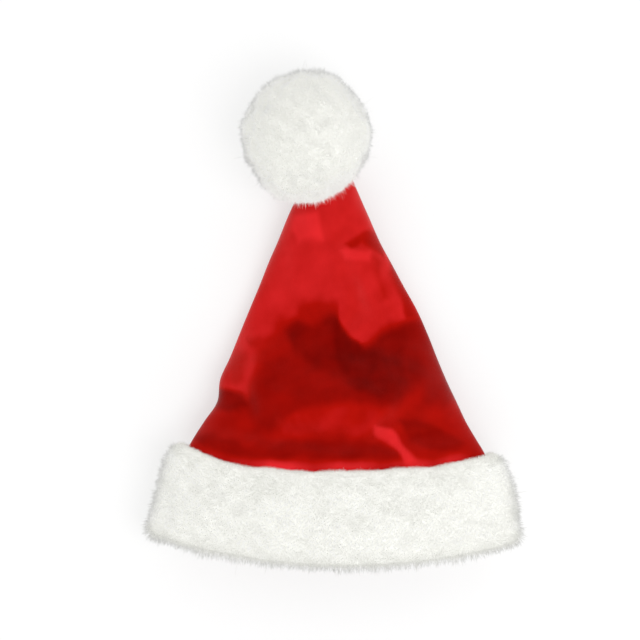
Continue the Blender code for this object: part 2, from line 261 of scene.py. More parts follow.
# The cuff's plush body follows the solid's section: down is a share of CUFF_HEIGHT from the seam, and out a
# share of CUFF_PILE off the crown
CUFF_SECTION = [
    {"down": 0.00, "out": 0.00},
    {"down": -0.04, "out": 0.42},
    {"down": 0.02, "out": 0.80},
    {"down": 0.15, "out": 0.94},
    {"down": 0.29, "out": 0.97},
    {"down": 0.43, "out": 0.99},
    {"down": 0.57, "out": 0.99},
    {"down": 0.71, "out": 0.97},
    {"down": 0.85, "out": 0.92},
    {"down": 0.96, "out": 0.68},
    {"down": 1.00, "out": 0.30},
    {"down": 0.98, "out": 0.00},
]

# Soft lumps of the cuff's body, how near the floor it comes, and its divisions: down and round for the body
# and for the grid that one of its piles stands on, and down for the lining
CUFF_LUMPS = [
    {"height": 0.0011, "wavelength": 0.045, "seed": 11},
    {"height": 0.0005, "wavelength": 0.016, "seed": 12},
]
CUFF_FLOOR = 0.0005
CUFF_GRID = (40, 240)
CUFF_PILE_GRID = (48, 160)
LINING_ROWS = 6

# The pompom's body: an ellipsoid whose middle is the solid's
POMPOM_RADII = (0.0514, 0.0540, 0.0514)
# Over the crown's right edge its pile is parted, and the red shows between the strands
PARTING_WAY = (0.48, -0.86, 0.16)
PARTING_DEPTH = 0.0050
PARTING_REACH = 0.28
# Soft lumps of the pompom's body, how near the floor it comes, and its divisions from pole to pole and round
POMPOM_LUMPS = [
    {"height": 0.0013, "wavelength": 0.036, "seed": 21},
    {"height": 0.0005, "wavelength": 0.014, "seed": 22},
]
POMPOM_FLOOR = 0.004
POMPOM_GRID = (90, 180)

# Fibres stop short of the floor. Their length varies from clump to clump, and one in so many has worked loose
FIBRE_FLOOR = 0.0003
FIBRE_CLUMP = 0.012
LOOSE_SHARE = 1 / 300
# The part of a fibre map's width that runs from white to the grey of painted shade
GREY_RANGE = (0.04, 0.96)
# Tufts lean by one of this many random vectors, which three large factors pick for each cell
LEANS = 4096
LEAN_SEED = 5
CELL_FACTORS = (73856093, 19349663, 83492791)

# How the cuff's pile stands: how far it leans towards the brim, how wide its clumps are and how far they
# lean, and how much the sides are trimmed or left long
CUFF_LEAN = 0.35
CUFF_CLUMP = 0.005
CUFF_CLUMP_LEAN = 0.12
CUFF_TRIM = 0.35
# How fast the trim and the painted shade's grey come in as the pile turns to face the seam or the lower edge
EDGE_RATE = 1.5
SEAM_SHADE_RATE = 6
EDGE_SHADE_RATE = 2.5
SHADE_START = 0.1
# Its guard fibres: their share against the setting, how fast that is lost where the pile is brushed flat, how
# far they may face the seam, and their curl against a crimped fibre's
CUFF_GUARD_SHARE = 1.4
CUFF_GUARD_FADE = 1.8
CUFF_GUARD_FACING = -0.3
CUFF_GUARD_CURL = 2.0
# The pompom's pile the same way, with no lean or trim. Its fringe over the crown starts at a height and comes
# in over a rise. There the clumps lean further, the tufts are wider and their lengths vary more
POMPOM_CLUMP = 0.006
POMPOM_CLUMP_LEAN = 0.15
POMPOM_GUARD_FADE = 3.0
POMPOM_GUARD_CURL = 1.3
FRINGE_FROM = 0.030
FRINGE_RISE = 0.020
FRINGE_LEAN = 0.3
FRINGE_WIDTH = 0.3
FRINGE_VARIATION = 0.4
# In the parting the strands are longer by up to this share, and at its top the pompom is greyed this much by
# painted shade
PARTING_LENGTH = 1.2
POMPOM_TOP_SHADE = 0.6
# Seeds of the piles' random draws, counted up from here
CUFF_SEED = 100
POMPOM_SEED = 200

# The camera looks straight down on the hat's middle: its lens and full-frame sensor in millimetres, and how
# far it sees
VIEW_MIDDLE = np.array([-0.014, 0.176, 0.04])
CAMERA_LENS = 118.25
CAMERA_SENSOR = 36
CAMERA_REACH = 50
# The key light, a soft box over the photo's lower right: compass turn and height angle in degrees, distance
# and side
KEY_LIGHT = {"azimuth": -32, "elevation": 64, "distance": 2.2, "size": 1.4}

# The map that each piece with a pattern carries
UV_MAP = "OFBake"
# The attribute that carries the velour's painted shade and highlights
SHADE_MAP = "nap"


def linear(colour_hex):
    """An sRGB hex colour as linear RGBA."""
    values = np.array([int(colour_hex[i : i + 2], 16) for i in (1, 3, 5)]) / 255
    low = values / 12.92
    high = ((values + 0.055) / 1.055) ** 2.4
    return (*np.where(values <= 0.04045, low, high), 1.0)


def colour(name, description, colour_hex):
    """A colour setting whose default is an sRGB hex colour."""
    return FloatVectorProperty(
        name=name,
        description=description,
        default=linear(colour_hex),
        subtype="COLOR",
        size=4,
        min=0.0,
        max=1.0,
    )


class CrownSettings(PropertyGroup):
    """Sizes and colours of the red cone."""

    fabric: FloatProperty(
        name="Fabric thickness", description="Thickness of the velour", default=0.0016, unit="LENGTH"
    )
    columns: IntProperty(name="Columns", description="Divisions round the cone", default=300)
    rows: IntProperty(name="Rows", description="Divisions from the tip to the cut edge", default=180)
    wrinkle: FloatProperty(
        name="Wrinkle height", description="Height of the small wrinkles", default=0.00045, unit="LENGTH"
    )
    # The ramp's reds: the deepest paints shadows, the pale and glowing reds paint highlights, and the middle
    # and pale reds mix into the velour's even red
    deep: colour("Deepest red", "Velour whose pile leans straight to the eye", "#420000")
    middle: colour("Middle red", "Velour whose pile stands upright", "#a40d07")
    pale: colour("Pale red", "Velour whose pile leans away", "#e12a2e")
    glow: colour("Glowing red", "Velour that is pressed flat, as along the seam", "#ff3c4c")
    shine: colour("Shine", "Tint of the satin face's shine", "#ff3820")


class PlushSettings(PropertyGroup):
    """Sizes and colours of the white pile."""

    cuff_length: FloatProperty(
        name="Cuff pile length", description="Longest fibres of the cuff", default=0.0048, unit="LENGTH"
    )
    pompom_length: FloatProperty(
        name="Pompom pile length", description="Longest fibres of the pompom", default=0.0048, unit="LENGTH"
    )
    fibre: FloatProperty(
        name="Fibre width", description="Width of a tuft at its root", default=0.00032, unit="LENGTH"
    )
    guard: FloatProperty(
        name="Guard fibres",
        description="Share of long straight fibres at the sides",
        default=0.35,
        subtype="FACTOR",
    )
    guard_length: FloatProperty(
        name="Guard length", description="Length of a guard fibre against a crimped one", default=1.6
    )
    guard_width: FloatProperty(
        name="Guard width", description="Width of a guard fibre against a crimped one", default=1.9
    )
    curl: FloatProperty(name="Curl", description="How far the crimped fibres lean at random", default=0.25)
    cuff_fibres: IntProperty(
        name="Cuff fibres", description="Tufts in each of the cuff's three piles", default=36000
    )
    pompom_fibres: IntProperty(
        name="Pompom fibres", description="Tufts in each half of the pompom", default=35000
    )
    # White polyester holds an optical brightener, but this is painted light: the pile and its ground glow
    # with this much white light of their own, which lifts their shade
    fibre_glow: FloatProperty(name="Brightener", description="White light that the fibres give", default=0.26)
    tip: colour("Tips", "Fibres from their middle to their tips", "#ededeb")
    root: colour("Roots", "Fibres at their roots", "#e9e9e5")
    # Painted shade: the grey that the cuff's rolled edges and the pompom's top are multiplied by
    shaded: colour("Shaded pile", "What the rolled edges and the pompom's top are toned down by", "#ebebe8")
    ground_colour: colour("Ground", "The short pile between the fibres", "#d8d8d3")
    # The guard fibres' grey tips are painted shade on the fringe at the sides
    guard_colour: colour("Guard tips", "Tips of the guard fibres", "#bcbcba")


class StageSettings(PropertyGroup):
    """Sizes and colours of the floor and lights."""

    floor: FloatProperty(name="Floor size", description="Side of the floor", default=8.0, unit="LENGTH")
    height: FloatProperty(
        name="Camera height", description="Height of the camera over the floor", default=1.89, unit="LENGTH"
    )
    glow: FloatProperty(name="Floor glow", description="Light that the floor itself gives", default=0.48)
    tent_sides: FloatProperty(name="Tent sides", description="Light from low all round", default=1.4)
    tent_top: FloatProperty(name="Tent top", description="Light from straight above", default=0.75)
    key_watts: FloatProperty(
        name="Key power", description="Power of the key light", default=14.0, unit="POWER"
    )
    opal: colour("Floor", "Opal acrylic under the hat", "#b6b6b6")


class HatSettings(PropertyGroup):
    """All settings of the hat."""

    crown: PointerProperty(type=CrownSettings)
    plush: PointerProperty(type=PlushSettings)
    stage: PointerProperty(type=StageSettings)


def on_curve(table, column, along):
    """The column's value at each share along: cubic Hermite pieces through the table's rows."""
    stations = np.array([row["along"] for row in table])
    values = np.array([row[column] for row in table])
    slopes = np.gradient(values, stations)
    i = np.clip(np.searchsorted(stations, along) - 1, 0, len(stations) - 2)
    span = stations[i + 1] - stations[i]
    t = np.clip((along - stations[i]) / span, 0, 1)
    return (
        values[i] * (2 * t**3 - 3 * t**2 + 1)
        + values[i + 1] * (3 * t**2 - 2 * t**3)
        + span * (slopes[i] * (t**3 - 2 * t**2 + t) + slopes[i + 1] * (t**3 - t**2))
    )


def ripples(places, wavelength, seed, waves=24):
    """Soft bumps from about -1 to 1: the sum of plane waves in random directions, over their count's root."""
    rng = np.random.default_rng(seed)
    ways = rng.normal(size=(waves, 3))
    ways /= np.linalg.norm(ways, axis=1, keepdims=True)
    ways *= 2 * math.pi / (wavelength * rng.uniform(0.7, 1.4, size=(waves, 1)))
    phases = rng.uniform(0, 2 * math.pi, waves)
    flat = places.reshape(-1, 3)
    total = np.zeros(len(flat))
    for way, phase in zip(ways, phases):
        total += np.sin(flat @ way + phase)
    return (total / math.sqrt(waves)).reshape(places.shape[:-1])


def lumps(table, places):
    """The sum of a table's ripples at each place, each times its height."""
    return sum(row["height"] * ripples(places, row["wavelength"], row["seed"]) for row in table)


def unit(vectors):
    """The vectors at length 1: each over its own length."""
    return vectors / np.maximum(np.linalg.norm(vectors, axis=-1, keepdims=True), 1e-12)


def fan_place(along, across):
    """x and y for a share along the rays and a share across: the apex plus a radius on a turned ray."""
    left = on_curve(CROWN_SECTIONS, "left", along) * FAN_HALF_ANGLE
    right = on_curve(CROWN_SECTIONS, "right", along) * FAN_HALF_ANGLE
    ray = FAN_TURN + (right - left) / 2 + across * (right + left) / 2
    bow = on_curve(CROWN_SECTIONS, "bow", along)
    radius = FAN_RADIUS * (along * (1 + SEAM_TILT * across) + bow * across**2)
    return APEX_X + radius * np.sin(ray), APEX_Y - radius * np.cos(ray)


def long_bumps(table, column, x, y):
    """The sum of Gaussian bumps of a column's size, each long one way and narrow the other, at x and y."""
    total = np.zeros(np.shape(x))
    for row in table:
        middle_x, middle_y = fan_place(np.array(row["along"]), np.array(row["across"]))
        way = math.radians(row["way"]) + math.atan2(middle_x - APEX_X, APEX_Y - middle_y)
        offset_x, offset_y = (x - middle_x) / FAN_RADIUS, (y - middle_y) / FAN_RADIUS
        lengthwise = offset_x * math.sin(way) - offset_y * math.cos(way)
        sideways = offset_x * math.cos(way) + offset_y * math.sin(way)
        reach = (lengthwise / row["length"]) ** 2 + (sideways / row["width"]) ** 2
        total = total + row[column] * np.exp(-reach)
    return total


def fold_height(x, y):
    """The folds' height over the upper layer."""
    return CROWN_TOP * long_bumps(CROWN_FOLDS, "height", x, y)


def within(x, y, outline, rim):
    """1 inside a closed outline and 0 outside, with a smoothstep a rim wide between them.

    The distance to the outline is the least to any of its edges. A place is inside where a ray from it to +X
    crosses the edges an odd number of times.
    """
    nearest = np.full(np.shape(x), np.inf)
    inside = np.zeros(np.shape(x), dtype=bool)
    for (ax, ay), (bx, by) in zip(outline, np.roll(outline, -1, 0)):
        run_x, run_y = bx - ax, by - ay
        share = np.clip(((x - ax) * run_x + (y - ay) * run_y) / (run_x**2 + run_y**2), 0, 1)
        nearest = np.minimum(nearest, np.hypot(x - ax - share * run_x, y - ay - share * run_y))
        level = (ay > y) != (by > y)
        inside ^= level & (x < ax + run_x * (y - ay) / (run_y or 1))
    share = np.clip(np.where(inside, nearest, -nearest) / rim + 0.5, 0, 1)
    return share**2 * (3 - 2 * share)


def on_seam(column, x):
    """A column of SEAM_LINE at each x: straight runs between its rows."""
    return np.interp(x, [row["x"] / 1000 for row in SEAM_LINE], [row[column] for row in SEAM_LINE])


def painted_shade(places, along):
    """Painted shade and highlights: SHADE_LEVEL, painted over by each patch in turn with wandering rims.

    The painted highlight where the cloth rolls into the seam comes last. Its cover is e to minus the fourth
    power of the distance from the seam over SEAM_ROLL.
    """
    x = places[..., 0] + SHADE_WANDER * ripples(places, SHADE_WANDER_SIZE, seed=5)
    y = places[..., 1] + SHADE_WANDER * ripples(places, SHADE_WANDER_SIZE, seed=6)
    shade = np.full(x.shape, SHADE_LEVEL)
    for patch in PAINTED_SHADE_PATCHES:
        cover = within(x, y, np.array(patch["outline"]) / 1000, patch["rim"] / 1000)
        shade = shade + (patch["shade"] - shade) * cover
    seam = SEAM_ALONG + on_seam("drop", x) / 1000 / FAN_RADIUS
    return shade + (on_seam("shade", x) - shade) * np.exp(-(((seam - along) / SEAM_ROLL) ** 4))


def crown_surface(along, turn):
    """The crown's outer surface: x and y from the fan at cos(turn), z swelling with sin(turn) both ways."""
    swell = np.sin(turn)
    x, y = fan_place(along, np.cos(turn))
    top = on_curve(CROWN_SECTIONS, "top", along) * CROWN_TOP
    under = on_curve(CROWN_SECTIONS, "under", along) * CROWN_LIFT
    side = under + (top - under) * on_curve(CROWN_SECTIONS, "edge", along)
    fade = np.clip((SEAM_ALONG - along) / FOLD_FADE, 0, 1)
    above = side + (top - side) * swell + fold_height(x, y) * swell * fade
    below = side - (side - under) * np.abs(swell) ** UNDER_POWER
    return np.stack([x, y, np.where(swell > 0, above, below)], -1)


def crown_normal(along, turn):
    """The outward normal: the cross product of small steps round the section and along the rays."""
    step = 1e-3
    round_it = crown_surface(along, turn + step) - crown_surface(along, turn - step)
    along_it = crown_surface(along + step, turn) - crown_surface(along - step, turn)
    return unit(np.cross(round_it, along_it))


def grid_faces(rows, columns, wrap_rows=False, wrap_columns=True):
    """Quads between the points of a grid. Unwrapped columns have one point more in each row."""
    stride = columns if wrap_columns else columns + 1
    r = np.arange(rows if wrap_rows else rows - 1)[:, None]
    c = np.arange(columns)[None, :]
    r2, c2 = (r + 1) % rows, (c + 1) % stride
    corners = [r * stride + c, r * stride + c2, r2 * stride + c2, r2 * stride + c]
    return np.stack([np.broadcast_to(k, (r.shape[0], columns)) for k in corners], -1).reshape(-1, 4)


def end_fans(rows, columns):
    """Triangles that close a wrapped grid: from a tip to each edge of its first row, and from a second tip to
    each edge of its last row. The tips are numbered straight after the grid's points."""
    c = np.arange(columns)
    c2 = (c + 1) % columns
    last = (rows - 1) * columns
    start_fan = np.stack([np.full(columns, rows * columns), c2, c], -1)
    end_fan = np.stack([np.full(columns, rows * columns + 1), last + c, last + c2], -1)
    return start_fan, end_fan


def new_piece(name, points, face_sets, material, corner_uv=None):
    """A mesh object from an array of points and arrays of faces, with a UV pair for each corner if given."""
    mesh = bpy.data.meshes.new(name)
    loops = np.concatenate([faces.ravel() for faces in face_sets]).astype(np.int32)
    sizes = np.concatenate([np.full(len(faces), faces.shape[1]) for faces in face_sets])
    starts = np.concatenate([[0], np.cumsum(sizes)[:-1]]).astype(np.int32)
    mesh.vertices.add(len(points))
    mesh.vertices.foreach_set("co", np.ascontiguousarray(points, dtype=np.float32).ravel())
    mesh.loops.add(len(loops))
    mesh.loops.foreach_set("vertex_index", loops)
    mesh.polygons.add(len(sizes))
    mesh.polygons.foreach_set("loop_start", starts)
    mesh.update(calc_edges=True)
    mesh.validate()
    if corner_uv is not None:
        layer = mesh.uv_layers.new(name=UV_MAP)
        layer.data.foreach_set("uv", np.ascontiguousarray(corner_uv, dtype=np.float32).ravel())
    mesh.materials.append(material)
    mesh.shade_smooth()
    piece = bpy.data.objects.new(name, mesh)
    bpy.context.scene.collection.objects.link(piece)
    return piece


def add_node(tree, kind, values=None, links=None, **settings):
    """Adds a node, sets its settings and input values, and links other nodes' sockets into its inputs."""
    node = tree.nodes.new(kind)
    for name, value in settings.items():
        setattr(node, name, value)
    for name, value in (values or {}).items():
        node.inputs[name].default_value = value
    for name, socket in (links or {}).items():
        tree.links.new(socket, node.inputs[name])
    return node


def new_material(name, values):
    """A material whose Principled shader has the given values: the material, its tree and the shader."""
    material = bpy.data.materials.new(name)
    material.use_nodes = True
    shader = material.node_tree.nodes["Principled BSDF"]
    for socket, value in values.items():
        shader.inputs[socket].default_value = value
    return material, material.node_tree, shader


def ramp(tree, factor, stops):
    """A colour ramp fed by the factor socket, with a colour at each stop."""
    node = add_node(tree, "ShaderNodeValToRGB", links={"Fac": factor})
    elements = node.color_ramp.elements
    while len(elements) < len(stops):
        elements.new(0.5)
    for element, (position, tone) in zip(elements, stops):
        element.position = position
        element.color = tone
    return node


def satin_velour(crown):
    """Polyester velour with a satin face: short pile brushed flat, so it shines broadly."""
    material, tree, shader = new_material(
        "brushed_satin_velour",
        {
            "Roughness": 0.42,
            "IOR": 1.45,
            "Specular IOR Level": 0.28,
            "Specular Tint": crown.shine,
        },
    )
    cloth = add_node(tree, "ShaderNodeUVMap", uv_map=UV_MAP)
    # The painted shade map picks the red: deep for painted shadows, pale and glowing for painted highlights
    shade_map_reader = add_node(tree, "ShaderNodeAttribute", attribute_name=SHADE_MAP)
    shades = [(0.0, crown.deep), (0.5, crown.middle), (1.0, crown.pale), (SHADE_TOP, crown.glow)]
    stops = [(shade / SHADE_TOP, red) for shade, red in shades]
    red = ramp(tree, shade_map_reader.outputs["Fac"], stops)
    tree.links.new(red.outputs["Color"], shader.inputs["Base Color"])
    # Knit ribs are 0.4 mm apart on such cloth. They are drawn 1.4 mm apart, the finest that shows. The bands
    # of a wave texture lie about 1 / (pi * Scale) apart
    ribs = add_node(
        tree,
        "ShaderNodeTexWave",
        {"Scale": 1 / (math.pi * RIB_SPACING), "Distortion": 1.2, "Detail": 2.0, "Detail Scale": 1.5},
        {"Vector": cloth.outputs["UV"]},
    )
    nap = add_node(
        tree, "ShaderNodeTexNoise", {"Scale": 1 / NAP_GRAIN, "Detail": 2.0}, {"Vector": cloth.outputs["UV"]}
    )
    rib_bump = add_node(
        tree, "ShaderNodeBump", {"Strength": 0.08, "Distance": 0.0003}, {"Height": ribs.outputs["Fac"]}
    )
    nap_bump = add_node(
        tree,
        "ShaderNodeBump",
        {"Strength": 0.15, "Distance": 0.0005},
        {"Height": nap.outputs["Fac"], "Normal": rib_bump.outputs["Normal"]},
    )
    tree.links.new(nap_bump.outputs["Normal"], shader.inputs["Normal"])
    return material


def plush_fibre(plush):
    """Crimped polyester pile fibres: matt, milky and a shade darker towards the root, with painted shade that
    greys them where the cuff's pile rolls over and on the pompom's top."""
    material, tree, shader = new_material(
        "crimped_polyester_pile",
        {
            "Roughness": 0.85,
            "Specular IOR Level": 0.25,
            # Painted light: the fibres glow white of their own
            "Emission Color": plush.tip,
            "Emission Strength": plush.fibre_glow,
        },
    )
    place = add_node(tree, "ShaderNodeUVMap", uv_map=UV_MAP)
    parts = add_node(tree, "ShaderNodeSeparateXYZ", links={"Vector": place.outputs["UV"]})
    # The guard fibres grey towards their tips, painted shade on the fringe
    stops = [(0.0, plush.root), (0.35, plush.tip), (0.6, plush.tip), (0.85, plush.guard_colour)]
    lengthwise = ramp(tree, parts.outputs["Y"], stops)
    white_end, grey_end = GREY_RANGE
    # The map's u adds painted shade, from white to the shaded pile's grey
    shade_tone = ramp(tree, parts.outputs["X"], [(white_end, (1, 1, 1, 1)), (grey_end, plush.shaded)])
    white = add_node(
        tree,
        "ShaderNodeVectorMath",
        links={0: lengthwise.outputs["Color"], 1: shade_tone.outputs["Color"]},
        operation="MULTIPLY",
    )
    tree.links.new(white.outputs["Vector"], shader.inputs["Base Color"])
    return material


def plush_ground(plush):
    """The dense short pile under the long fibres: the same polyester, curled into tufts about 3 mm wide."""
    material, tree, shader = new_material(
        "knitted_polyester_ground",
        {
            "Roughness": 0.95,
            "Specular IOR Level": 0.2,
            # Painted light: the ground glows like the fibres
            "Emission Color": plush.tip,
            "Emission Strength": plush.fibre_glow,
        },
    )
    place = add_node(tree, "ShaderNodeTexCoord")
    tufts = add_node(
        tree,
        "ShaderNodeTexNoise",
        {"Scale": 1 / TUFT_SIZE, "Detail": 4.0},
        {"Vector": place.outputs["Object"]},
    )
    white = ramp(tree, tufts.outputs["Fac"], [(0.3, plush.ground_colour), (0.7, plush.root)])
    tree.links.new(white.outputs["Color"], shader.inputs["Base Color"])
    bump = add_node(
        tree, "ShaderNodeBump", {"Strength": 0.2, "Distance": 0.001}, {"Height": tufts.outputs["Fac"]}
    )
    tree.links.new(bump.outputs["Normal"], shader.inputs["Normal"])
    return material


def cloth_pattern(along, turn, layer):
    """Where a point of the cone lies on the flat cloth, in metres: the cone unrolled about its apex.

    The girth so far is the half width times (1 - cos turn) over the upper layer, and times (3 + cos turn)
    under it. Its angle about the apex turns the ray. The inner face takes the upper half of the map.
    """
    radius = along * FAN_RADIUS
    girth = np.where(turn <= math.pi, 1 - np.cos(turn), 3 + np.cos(turn))
    angle = (girth - 2) * FAN_HALF_ANGLE
    return np.stack([0.5 + radius * np.sin(angle), layer * 0.5 + radius * np.cos(angle)], -1)


def crown_points(settings):
    """The cone's outer face from the tip to the cut edge, a turned edge, and the inner face back again."""
    columns, rows = settings.columns, settings.rows
    turns = np.linspace(0, 2 * math.pi, columns, endpoint=False)
    inner_rows = rows // 3
    outer = np.linspace(TIP_ALONG, CROWN_CUT, rows)
    inner = np.linspace(CROWN_CUT, TIP_ALONG, inner_rows)
    along = np.concatenate([outer, [CROWN_CUT + settings.fabric / 4 / FAN_RADIUS], inner])
    depth = np.concatenate([np.zeros(rows), [0.5], np.ones(inner_rows)]) * settings.fabric
    layer = np.concatenate([np.zeros(rows + 1), np.ones(inner_rows)])
    along_grid, turn_grid = np.meshgrid(along, turns, indexing="ij")
    places = crown_surface(along_grid, turn_grid)
    normals = crown_normal(along_grid, turn_grid)
    above_seam = np.clip((SEAM_ALONG - along_grid) / FOLD_FADE, 0, 1)
    wrinkles = ripples(places, WRINKLE_SIZE, seed=3) * settings.wrinkle
    wrinkles = wrinkles * above_seam * np.abs(np.sin(turn_grid))
    places = places + normals * (wrinkles - depth[:, None])[..., None]
    whole_turns = np.linspace(0, 2 * math.pi, columns + 1)
    pattern = cloth_pattern(*np.meshgrid(along, whole_turns, indexing="ij"), layer[:, None])
    # Painted shade and highlights on the upper layer, the even deeper red beneath, and uneven brushing all
    # over
    upper = np.clip((np.sin(turn_grid) - SHADE_SIDE) * SHADE_SIDE_RATE, 0, 1) * (1 - layer[:, None])
    painted_shades = painted_shade(places, along_grid)
    nap = UNDER_SHADE + (painted_shades - UNDER_SHADE) * upper + lumps(NAP_CLOUDS, places)
    return places, pattern, nap


def tube_with_tips(name, places, pattern, material):
    """A closed piece from a grid whose columns wrap round, with a fan to a middle point at either end.

    The pattern has one column more than the places, because the flat cloth's two edges meet at the wrap.
    """
    rows, columns = places.shape[:2]
    points = places.reshape(-1, 3)
    tips = np.array([places[0].mean(0) + (0, TIP_POINT, 0), places[-1].mean(0) + (0, TIP_POINT, 0)])
    c = np.arange(columns)
    uv = np.concatenate([pattern.reshape(-1, 2), [pattern[0].mean(0), pattern[-1].mean(0)]])
    first, stride = rows * (columns + 1), (rows - 1) * (columns + 1)
    uv_corners = [
        grid_faces(rows, columns, wrap_columns=False),
        np.stack([np.full(columns, first), c + 1, c], -1),
        np.stack([np.full(columns, first + 1), stride + c, stride + c + 1], -1),
    ]
    corner_uv = np.concatenate([uv[corners.ravel()] for corners in uv_corners])
    face_sets = [grid_faces(rows, columns), *end_fans(rows, columns)]
    return new_piece(name, np.concatenate([points, tips]), face_sets, material, corner_uv)


def smooth_section(table, columns, samples):
    """Samples of an open section: a Catmull-Rom curve through the table's rows, evenly spaced by chord."""
    points = np.array([[row[name] for name in columns] for row in table])
    padded = np.concatenate([2 * points[:1] - points[1:2], points, 2 * points[-1:] - points[-2:-1]])
    dense = np.linspace(0, len(points) - 1, samples * 8)
    i = np.clip(dense.astype(int), 0, len(points) - 2)
    t = (dense - i)[:, None]
    a, b, c, d = (padded[i + k] for k in range(4))
    curve = 0.5 * (2 * b + (c - a) * t + (2 * a - 5 * b + 4 * c - d) * t**2 + (3 * b - a - 3 * c + d) * t**3)
    steps = np.linalg.norm(np.diff(curve, axis=0), axis=1)
    walked = np.concatenate([[0], np.cumsum(steps)])
    even = np.linspace(0, walked[-1], samples)
    return [np.interp(even, walked, curve[:, k]) for k in range(curve.shape[1])]


def cuff_outside(rows, columns, start=0.0, end=2 * math.pi):
    """The cuff's outer skin from the seam over the roll to the cut edge, as a grid of places. Its upper edge
    follows the seam's line, and that wandering fades out down the section."""
    down, out = smooth_section(CUFF_SECTION, ("down", "out"), rows)
    turns = np.linspace(start, end, columns, endpoint=end - start < 2 * math.pi)
    along_grid, turn_grid = np.meshgrid(SEAM_ALONG + down * CUFF_HEIGHT / FAN_RADIUS, turns, indexing="ij")
    seam_x, _ = fan_place(np.full(columns, SEAM_ALONG), np.cos(turns))
    fade = np.clip((SEAM_FADE[1] - down) / (SEAM_FADE[1] - SEAM_FADE[0]), 0, 1)
    along_grid += fade[:, None] * on_seam("drop", seam_x) / 1000 / FAN_RADIUS
    places = crown_surface(along_grid, turn_grid)
    normals = crown_normal(along_grid, turn_grid)
    height = GAP + (out * CUFF_PILE)[:, None] + lumps(CUFF_LUMPS, places) * np.minimum(out / 0.5, 1)[:, None]
    places = places + normals * height[..., None]
    places[..., 2] = np.maximum(places[..., 2], CUFF_FLOOR)
    return places


def grid_normals(places, wrap):
    """Outward normals of a grid of places: the cross product of its differences along columns and rows."""
    across = np.roll(places, -1, 1) - np.roll(places, 1, 1) if wrap else np.gradient(places, axis=1)
    down = np.gradient(places, axis=0)
    return unit(np.cross(across, down))


def scatter(places, normals, count, rng, wrap):
    """Random roots spread evenly by area over a grid: places and normals blended from each cell's corners."""
    if wrap:
        places = np.concatenate([places, places[:, :1]], 1)
        normals = np.concatenate([normals, normals[:, :1]], 1)
    a, b = places[:-1, :-1], places[:-1, 1:]
    c, d = places[1:, 1:], places[1:, :-1]
    area = np.linalg.norm(np.cross(c - a, d - b), axis=-1).ravel()
    total = np.cumsum(area)
    chosen = np.searchsorted(total, (np.arange(count) + rng.random(count)) / count * total[-1])
    chosen = np.minimum(chosen, len(total) - 1)
    row, column = np.divmod(chosen, places.shape[1] - 1)
    s, t = rng.random((2, count, 1))

    def blend(grid):
        upper = grid[row, column] * (1 - s) + grid[row, column + 1] * s
        lower = grid[row + 1, column] * (1 - s) + grid[row + 1, column + 1] * s
        return upper * (1 - t) + lower * t

    return blend(places), unit(blend(normals))


def fibres(name, roots, directions, lengths, widths, guard, grey, material, rng):
    """A joined mesh of thin closed spikes: a three-sided root, and a point its length along its direction.

    The map's u is how much painted shade greys a fibre. Its v runs from root to point over the lower half,
    and for the long guard fibres over the upper half.
    """
    count = len(roots)
    directions = unit(directions)
    helper = np.where(np.abs(directions[:, 2:3]) < 0.8, [[0.0, 0.0, 1.0]], [[1.0, 0.0, 0.0]])
    side = unit(np.cross(helper, directions))
    other = np.cross(directions, side)
    angles = rng.random((count, 1)) * 2 * math.pi + np.arange(3) * 2 * math.pi / 3
    ring = np.cos(angles)[..., None] * side[:, None] + np.sin(angles)[..., None] * other[:, None]
    base = roots[:, None] + ring * (widths / 2 * rng.uniform(0.7, 1.3, count))[:, None, None]
    tip = roots + directions * lengths[:, None]
    points = np.concatenate([base, tip[:, None]], 1)
    points[..., 2] = np.maximum(points[..., 2], FIBRE_FLOOR)
    corners = np.array([[0, 1, 3], [1, 2, 3], [2, 0, 3], [2, 1, 0]])
    faces = (np.arange(count) * 4)[:, None, None] + corners
    white_end, grey_end = GREY_RANGE
    u = white_end + (grey_end - white_end) * np.clip(grey, 0, 1)[:, None] + np.array([-0.01, 0.0, 0.01, 0.0])
    v = np.array([0.02, 0.02, 0.02, 0.48]) + 0.5 * guard[:, None]
    uv = np.stack([u, v], -1).reshape(-1, 2)
    return new_piece(name, points.reshape(-1, 3), [faces.reshape(-1, 3)], material, uv[faces.ravel()])


def standing(normals, share, fade, rng):
    """Which fibres are long and straight: a share of them where the surface faces sideways.

    The share is multiplied by 1.3 minus the fade times the size of the normal's z, within 0 and 1, because
    the pile is brushed flat on top.
    """
    return rng.random(len(normals)) < share * np.clip(1.3 - fade * np.abs(normals[:, 2]), 0, 1)


def fibre_lengths(longest, roots, guard, guard_length, rng):
    """Lengths from 0.55 to 1 of the longest, drawn out or cut by up to a fifth from clump to clump.

    Guard fibres are guard_length times as long, and the few that have worked loose are twice as long.
    """
    clumps = 1 + 0.2 * np.clip(ripples(roots, FIBRE_CLUMP, seed=31), -1, 1)
    loose = np.where(rng.random(len(roots)) < LOOSE_SHARE, 2, 1)
    return longest * rng.uniform(0.55, 1.0, len(roots)) * clumps * loose * np.where(guard, guard_length, 1)


def tufted(directions, roots, clump, strength, rng):
    """Directions drawn together in clumps: each leans by the random vector of its root's jittered cell."""
    cells = np.floor((roots + rng.normal(0, clump / 5, roots.shape)) / clump).astype(np.int64)
    keys = (cells * np.array(CELL_FACTORS)).sum(1) % LEANS
    leans = np.random.default_rng(LEAN_SEED).normal(size=(LEANS, 3))
    return unit(directions + strength * leans[keys])


def own(piece, slot, *nodes):
    """Lets a piece ride on the hat and hides the solid that it replaces. Its slot is not used."""
    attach(piece, "root")
    if nodes:
        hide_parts(*nodes)
    return piece


